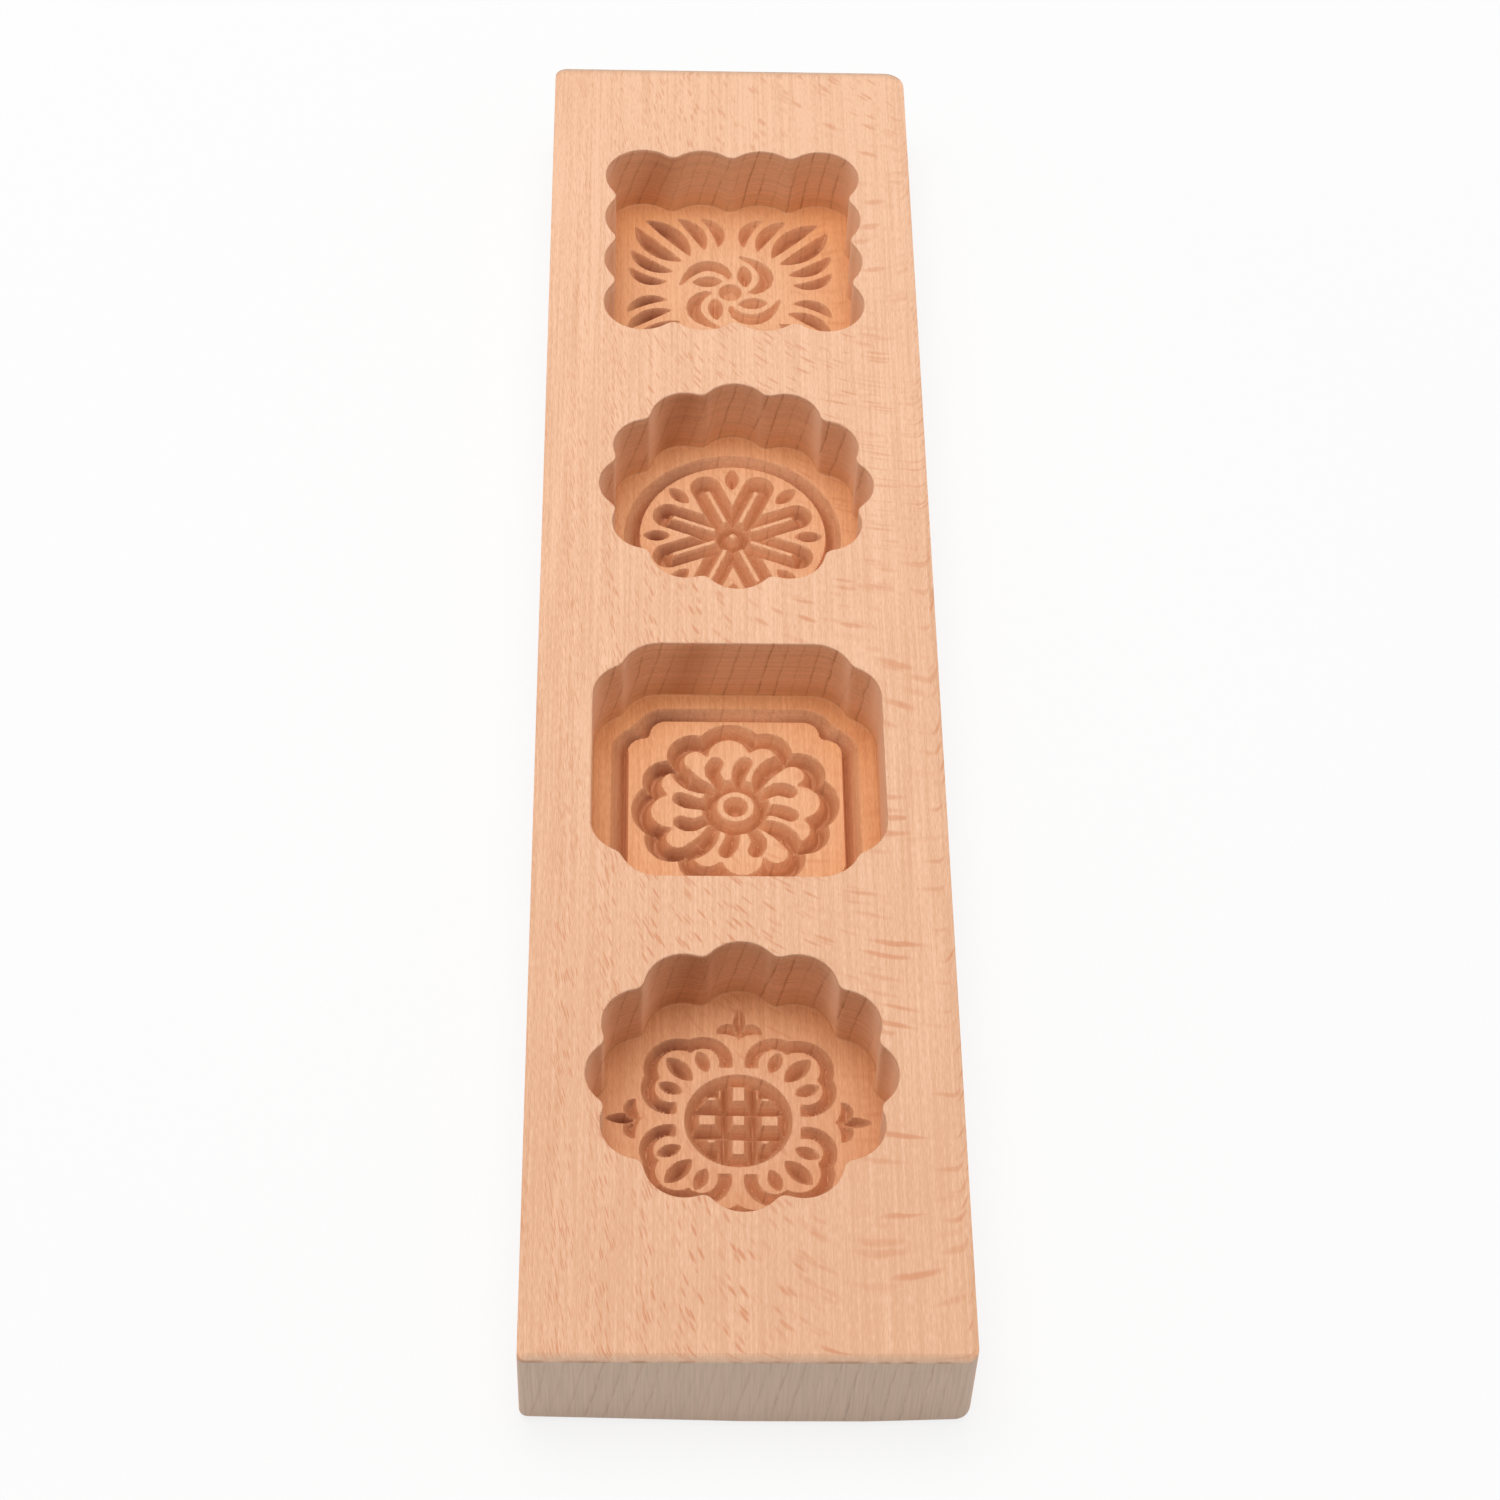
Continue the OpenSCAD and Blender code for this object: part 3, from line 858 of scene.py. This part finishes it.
# a band of darker years across the walls, fainter in every other cavity
darkYears = {
    "near": -9.0,  # mm across
    "far": -16.0,
    "change": (0.65, 0.83),  # share of the length over which it moves
    "half": 8.0,
    "faint": 0.4,
}


def darkBand(at, sloped, endWall, look):
    tree, y, pitch = at["tree"], at["y"], cavity["pitch"]
    changeFrom, changeTo = look["change"]
    middle = addNode(tree, "MapRange", {
        0: at["along"], 1: changeFrom, 2: changeTo, 3: look["near"], 4: look["far"]})[0]
    off = addNode(tree, "Math", {0: sloped, 1: middle}, operation="SUBTRACT")[0]
    off = addNode(tree, "Math", {0: off}, operation="ABSOLUTE")[0]
    dark = addNode(tree, "MapRange", {0: off, 1: look["half"], 2: 0.0}, interpolation_type="SMOOTHSTEP")[0]
    fromFirst = addNode(tree, "Math", {0: y, 1: 1.5 * pitch - cavity["rowShift"]}, operation="ADD")[0]
    toOther = addNode(tree, "Math", {0: fromFirst, 1: pitch}, operation="PINGPONG")[0]
    here = addNode(tree, "MapRange", {0: toOther, 2: pitch, 3: 1.0, 4: look["faint"]})[0]
    for share in (endWall, here):
        dark = addNode(tree, "Math", {0: dark, 1: share}, operation="MULTIPLY")[0]
    return dark


# Beech, planed and sanded and left bare: pale pinkish tan with fine fibre streaks along the board, thin
# year lines and the flecks of its rays, short where they are cut steeply and long where they lie flat;
# sawn ends look greyer. Shade is painted into the colour of the hollows, cuts and floors by the walls and
# towards the near end, and light is painted onto the walls that run with the grain and low on the walls
# across it
beechLook = {
    "pale": "#f6c5a2",
    "warm": "#e2ab85",
    "yearLine": "#97582f",
    "fleck": "#d18459",
    "endGrain": "#d9bda7",
    "grainPaleAndLit": "#ffd7b5",  # long grain is paler than end grain, and light is painted on too: on the walls that run with the grain and low on the walls across it
    # painted shade in each hollow: share of the length at which each hollow's shade starts
    "hollowShades": ((0, "#f6ede1"), (0.28, "#fff7e9"), (0.5, "#faf1e3"), (0.72, "#faf2e4")),
    # painted shade: mm across, tint of the cuts there, darker towards the sides and most on the left
    "shadeAcross": ((-18, "#ad7a5f"), (-3, "#fde9d8"), (6, "#ffeede"), (20, "#d9b9a4")),
    "longGrainCutShade": "#ebddd3",  # painted shade on the sides of a cut that run with the grain
    "deepCutShade": "#dcc9b7",  # painted shade in the bottom of a cut
    "roundEdgeShade": "#e6e6e3",  # painted shade on the sanded edge of the near end
    "wallFootShade": "#f1dfc5",  # painted shade on a floor towards its wall
    "darkTint": "#dac4b4",
    "fibre": (0.25, 2.0, 0.25),  # mm; real fibres are 0.02 mm, too fine to show, so streaks of them are drawn
    "streak": (0.7, 40, 0.7),
    "nearShadeAlong": -0.0008,  # painted shade: change of tone for each mm along the board, darker towards the near end
    "toneFrom": (0.74, 1.26),
    "toolLine": (30, 30, 0.6),  # mm, lines that the cutter left round the walls
    "sawLine": (0.4, 9, 12),  # lines down the ends
    "lineFrom": (0.3, 0.7),
    "lineTone": (0.93, 1.07),
    "yearLong": 0.05,  # strength of the year lines along the grain, on walls and on ends
    "yearWall": 0.7,
    "yearEnd": 0.35,
    "burrSize": (4, 4, 4),
    "burrFrom": (0.4, 0.62),
    "burrShare": 0.45,
    "fleckTop": 0.75,
    "fleckHollow": 0.35,
    "bump": 0.3,
    "bumpHigh": 0.0001,  # metres
    "roughness": 0.6,
    "ior": 1.45,
}


def beech(look):
    material = bpy.data.materials.new("beechSanded")
    material.use_nodes = True
    tree = material.node_tree
    tree.nodes.clear()
    at = boardPlace(tree)
    sloped, yearLine = yearLines(at, years)
    fleck = rayFlecks(at, rays)
    zone = placeZones(at, faceZones)
    crossCut, outerEnd = zone["crossCut"], zone["outerEnd"]

    # fibres and slower streaks along the board, with painted shade that deepens the tone towards the near end
    fibre, streak = stretched(at, look["fibre"], 2), stretched(at, look["streak"], 3)
    tone = addNode(tree, "Math", {0: fibre, 1: streak}, operation="ADD")[0]
    tone = addNode(tree, "Math", {0: at["y"], 1: look["nearShadeAlong"], 2: tone}, operation="MULTIPLY_ADD")[0]
    toneFrom, toneTo = look["toneFrom"]
    tone = addNode(tree, "MapRange", {0: tone, 1: toneFrom, 2: toneTo})[0]

    # how much each colour covers
    endLines = addNode(tree, "MapRange", {0: outerEnd, 3: look["yearWall"], 4: look["yearEnd"]})[0]
    yearShare = addNode(tree, "MapRange", {0: crossCut, 3: look["yearLong"], 4: endLines})[0]
    burrFrom, burrTo = look["burrFrom"]
    ragged = addNode(tree, "MapRange", {
        0: stretched(at, look["burrSize"], 2), 1: burrFrom, 2: burrTo, 4: look["burrShare"]})[0]
    fleckShare = addNode(tree, "MapRange", {
        0: zone["hollow"], 3: look["fleckTop"], 4: look["fleckHollow"]})[0]
    fleckShare = addNode(tree, "Mix", {0: zone["sawn"], 2: fleckShare, 3: 0.0})[0]
    yearFac, burrFac, fleckFac = (
        addNode(tree, "Math", {0: line, 1: share}, operation="MULTIPLY")[0]
        for line, share in ((yearLine, yearShare), (zone["burr"], ragged), (fleck, fleckShare)))
    colour = hexColour(look["pale"])
    covers = (
        (tone, "warm"), (zone["palerWall"], "grainPaleAndLit"), (zone["sawn"], "endGrain"),
        (yearFac, "yearLine"), (burrFac, "yearLine"), (fleckFac, "fleck"))
    for share, name in covers:
        colour = addNode(tree, "Mix", {0: share, 6: colour, 7: hexColour(look[name])}, data_type="RGBA")[2]

    # painted shade on the rounded ends, in the hollows, on floors towards their walls, in the cuts and in
    # their bottoms, and a band of darker years
    half = board["width"] / 2
    # painted shade in the cuts, from a ramp across the board
    shadeAt = addNode(tree, "MapRange", {0: at["x"], 1: -half, 2: half})[0]
    shadeStops = [(place / board["width"] + 0.5, tint) for place, tint in look["shadeAcross"]]
    ramps = []
    for value, stops, blend in ((at["along"], look["hollowShades"], "CONSTANT"), (shadeAt, shadeStops, "LINEAR")):
        ramps.append(addNode(tree, "ValToRGB", {0: value})[0])
        colours = ramps[-1].node.color_ramp
        colours.interpolation = blend
        colours.elements.remove(colours.elements[1])
        for k, (place, tint) in enumerate(stops):
            stop = colours.elements.new(place) if k else colours.elements[0]
            stop.position, stop.color = place, hexColour(tint)
    dark = darkBand(at, sloped, zone["endWall"], darkYears)
    tints = (
        (zone["roundOver"], hexColour(look["roundEdgeShade"])),
        (zone["tinted"], ramps[0]),
        (zone["footing"], hexColour(look["wallFootShade"])),
        (dark, hexColour(look["darkTint"])),
        (zone["carvedEnd"], ramps[1]),
        (zone["carvedLong"], hexColour(look["longGrainCutShade"])),
        (zone["deep"], hexColour(look["deepCutShade"])))
    for share, tint in tints:
        colour = addNode(
            tree, "Mix", {0: share, 6: colour, 7: tint}, data_type="RGBA", blend_type="MULTIPLY")[2]

    # cutter lines round the walls, saw lines down the ends
    toolLine, sawLine = stretched(at, look["toolLine"], 1), stretched(at, look["sawLine"], 2)
    line = addNode(tree, "Mix", {0: outerEnd, 2: toolLine, 3: sawLine})[0]
    (lineFrom, lineTo), (lineDark, linePale) = look["lineFrom"], look["lineTone"]
    lineTone = addNode(tree, "MapRange", {0: line, 1: lineFrom, 2: lineTo, 3: lineDark, 4: linePale})[0]
    lineShade = addNode(tree, "Mix", {0: crossCut, 2: 1.0, 3: lineTone})[0]
    colour = addNode(tree, "VectorMath", {0: colour, "Scale": lineShade}, operation="SCALE")[0]

    bump = addNode(tree, "Bump", {"Height": fibre, "Strength": look["bump"], "Distance": look["bumpHigh"]})[0]
    shader = addNode(tree, "BsdfPrincipled", {
        "Base Color": colour, "Roughness": look["roughness"], "IOR": look["ior"], "Normal": bump})[0]
    addNode(tree, "OutputMaterial", {"Surface": shader})
    return material


moldBoard.data.materials.append(beech(beechLook))
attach(moldBoard, "root")
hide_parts("mold_board")
print("beech finished")


# Stage

studio = {
    "floorHalf": 3.0,
    "floorDrop": 0.0002,
    "paper": "#f4f4f4",
    "glowNear": 0.82,  # share of plain white in the paper as the camera sees it, near the board and far away
    "glowFar": 1.0,
    "glowAway": (0.2, 0.6),  # metres from the middle of the board
    "skyLight": 0.38,
    "lampPlace": (-0.09, 0.11, 1.15),
    "lampSize": 1.0,
    "lampPower": 10.3,
}

white = (1, 1, 1, 1)


# 1 where the eye meets a surface itself or in a gloss, 0 where that surface only lights others
def seenByEye(tree):
    rayKinds = addNode(tree, "LightPath")
    seen = rayKinds["Is Camera Ray"]
    for kind in ("Is Glossy Ray", "Is Transmission Ray"):
        seen = addNode(tree, "Math", {0: seen, 1: rayKinds[kind]}, operation="MAXIMUM")[0]
    return seen


# white paper, matt: near white to the eye, with the board's shadow left in it
def whitePaper(look):
    paper = bpy.data.materials.new("whitePaper")
    paper.use_nodes = True
    tree = paper.node_tree
    tree.nodes.clear()
    spot = addNode(tree, "TexCoord")["Object"]
    away = addNode(tree, "VectorMath", {0: spot}, operation="LENGTH")["Value"]
    near, far = look["glowAway"]
    bright = addNode(tree, "MapRange", {0: away, 1: near, 2: far, 3: look["glowNear"], 4: look["glowFar"]})[0]
    share = addNode(tree, "Math", {0: seenByEye(tree), 1: bright}, operation="MULTIPLY")[0]
    matt = addNode(tree, "BsdfDiffuse", {"Color": hexColour(look["paper"])})[0]
    glow = addNode(tree, "Emission", {"Color": white, "Strength": 1.0})[0]
    mixed = addNode(tree, "MixShader", {0: share, 1: matt, 2: glow})[0]
    addNode(tree, "OutputMaterial", {"Surface": mixed})
    return paper


def makeStage(look):
    half, z = look["floorHalf"], -look["floorDrop"]
    mesh = bpy.data.meshes.new("studioFloor")
    corners = [(-half, -half, z), (half, -half, z), (half, half, z), (-half, half, z)]
    mesh.from_pydata(corners, [], [(0, 1, 2, 3)])
    mesh.materials.append(whitePaper(look))
    floor = bpy.data.objects.new("studioFloor", mesh)
    bpy.context.collection.objects.link(floor)

    world = bpy.data.worlds.new("studioRoom")
    bpy.context.scene.world = world
    world.use_nodes = True
    tree = world.node_tree
    tree.nodes.clear()
    strength = addNode(tree, "MapRange", {0: seenByEye(tree), 3: look["skyLight"], 4: 1.0})[0]
    sky = addNode(tree, "Background", {"Color": white, "Strength": strength})[0]
    addNode(tree, "OutputWorld", {"Surface": sky})

    data = bpy.data.lights.new("softbox", "AREA")
    data.energy = look["lampPower"]
    data.size = look["lampSize"]
    lamp = bpy.data.objects.new("softbox", data)
    lamp.location = look["lampPlace"]
    lamp.rotation_euler = (-Vector(look["lampPlace"])).to_track_quat("-Z", "Y").to_euler()
    bpy.context.collection.objects.link(lamp)


makeStage(studio)
bpy.context.scene.view_settings.view_transform = "Standard"
print("stage set")
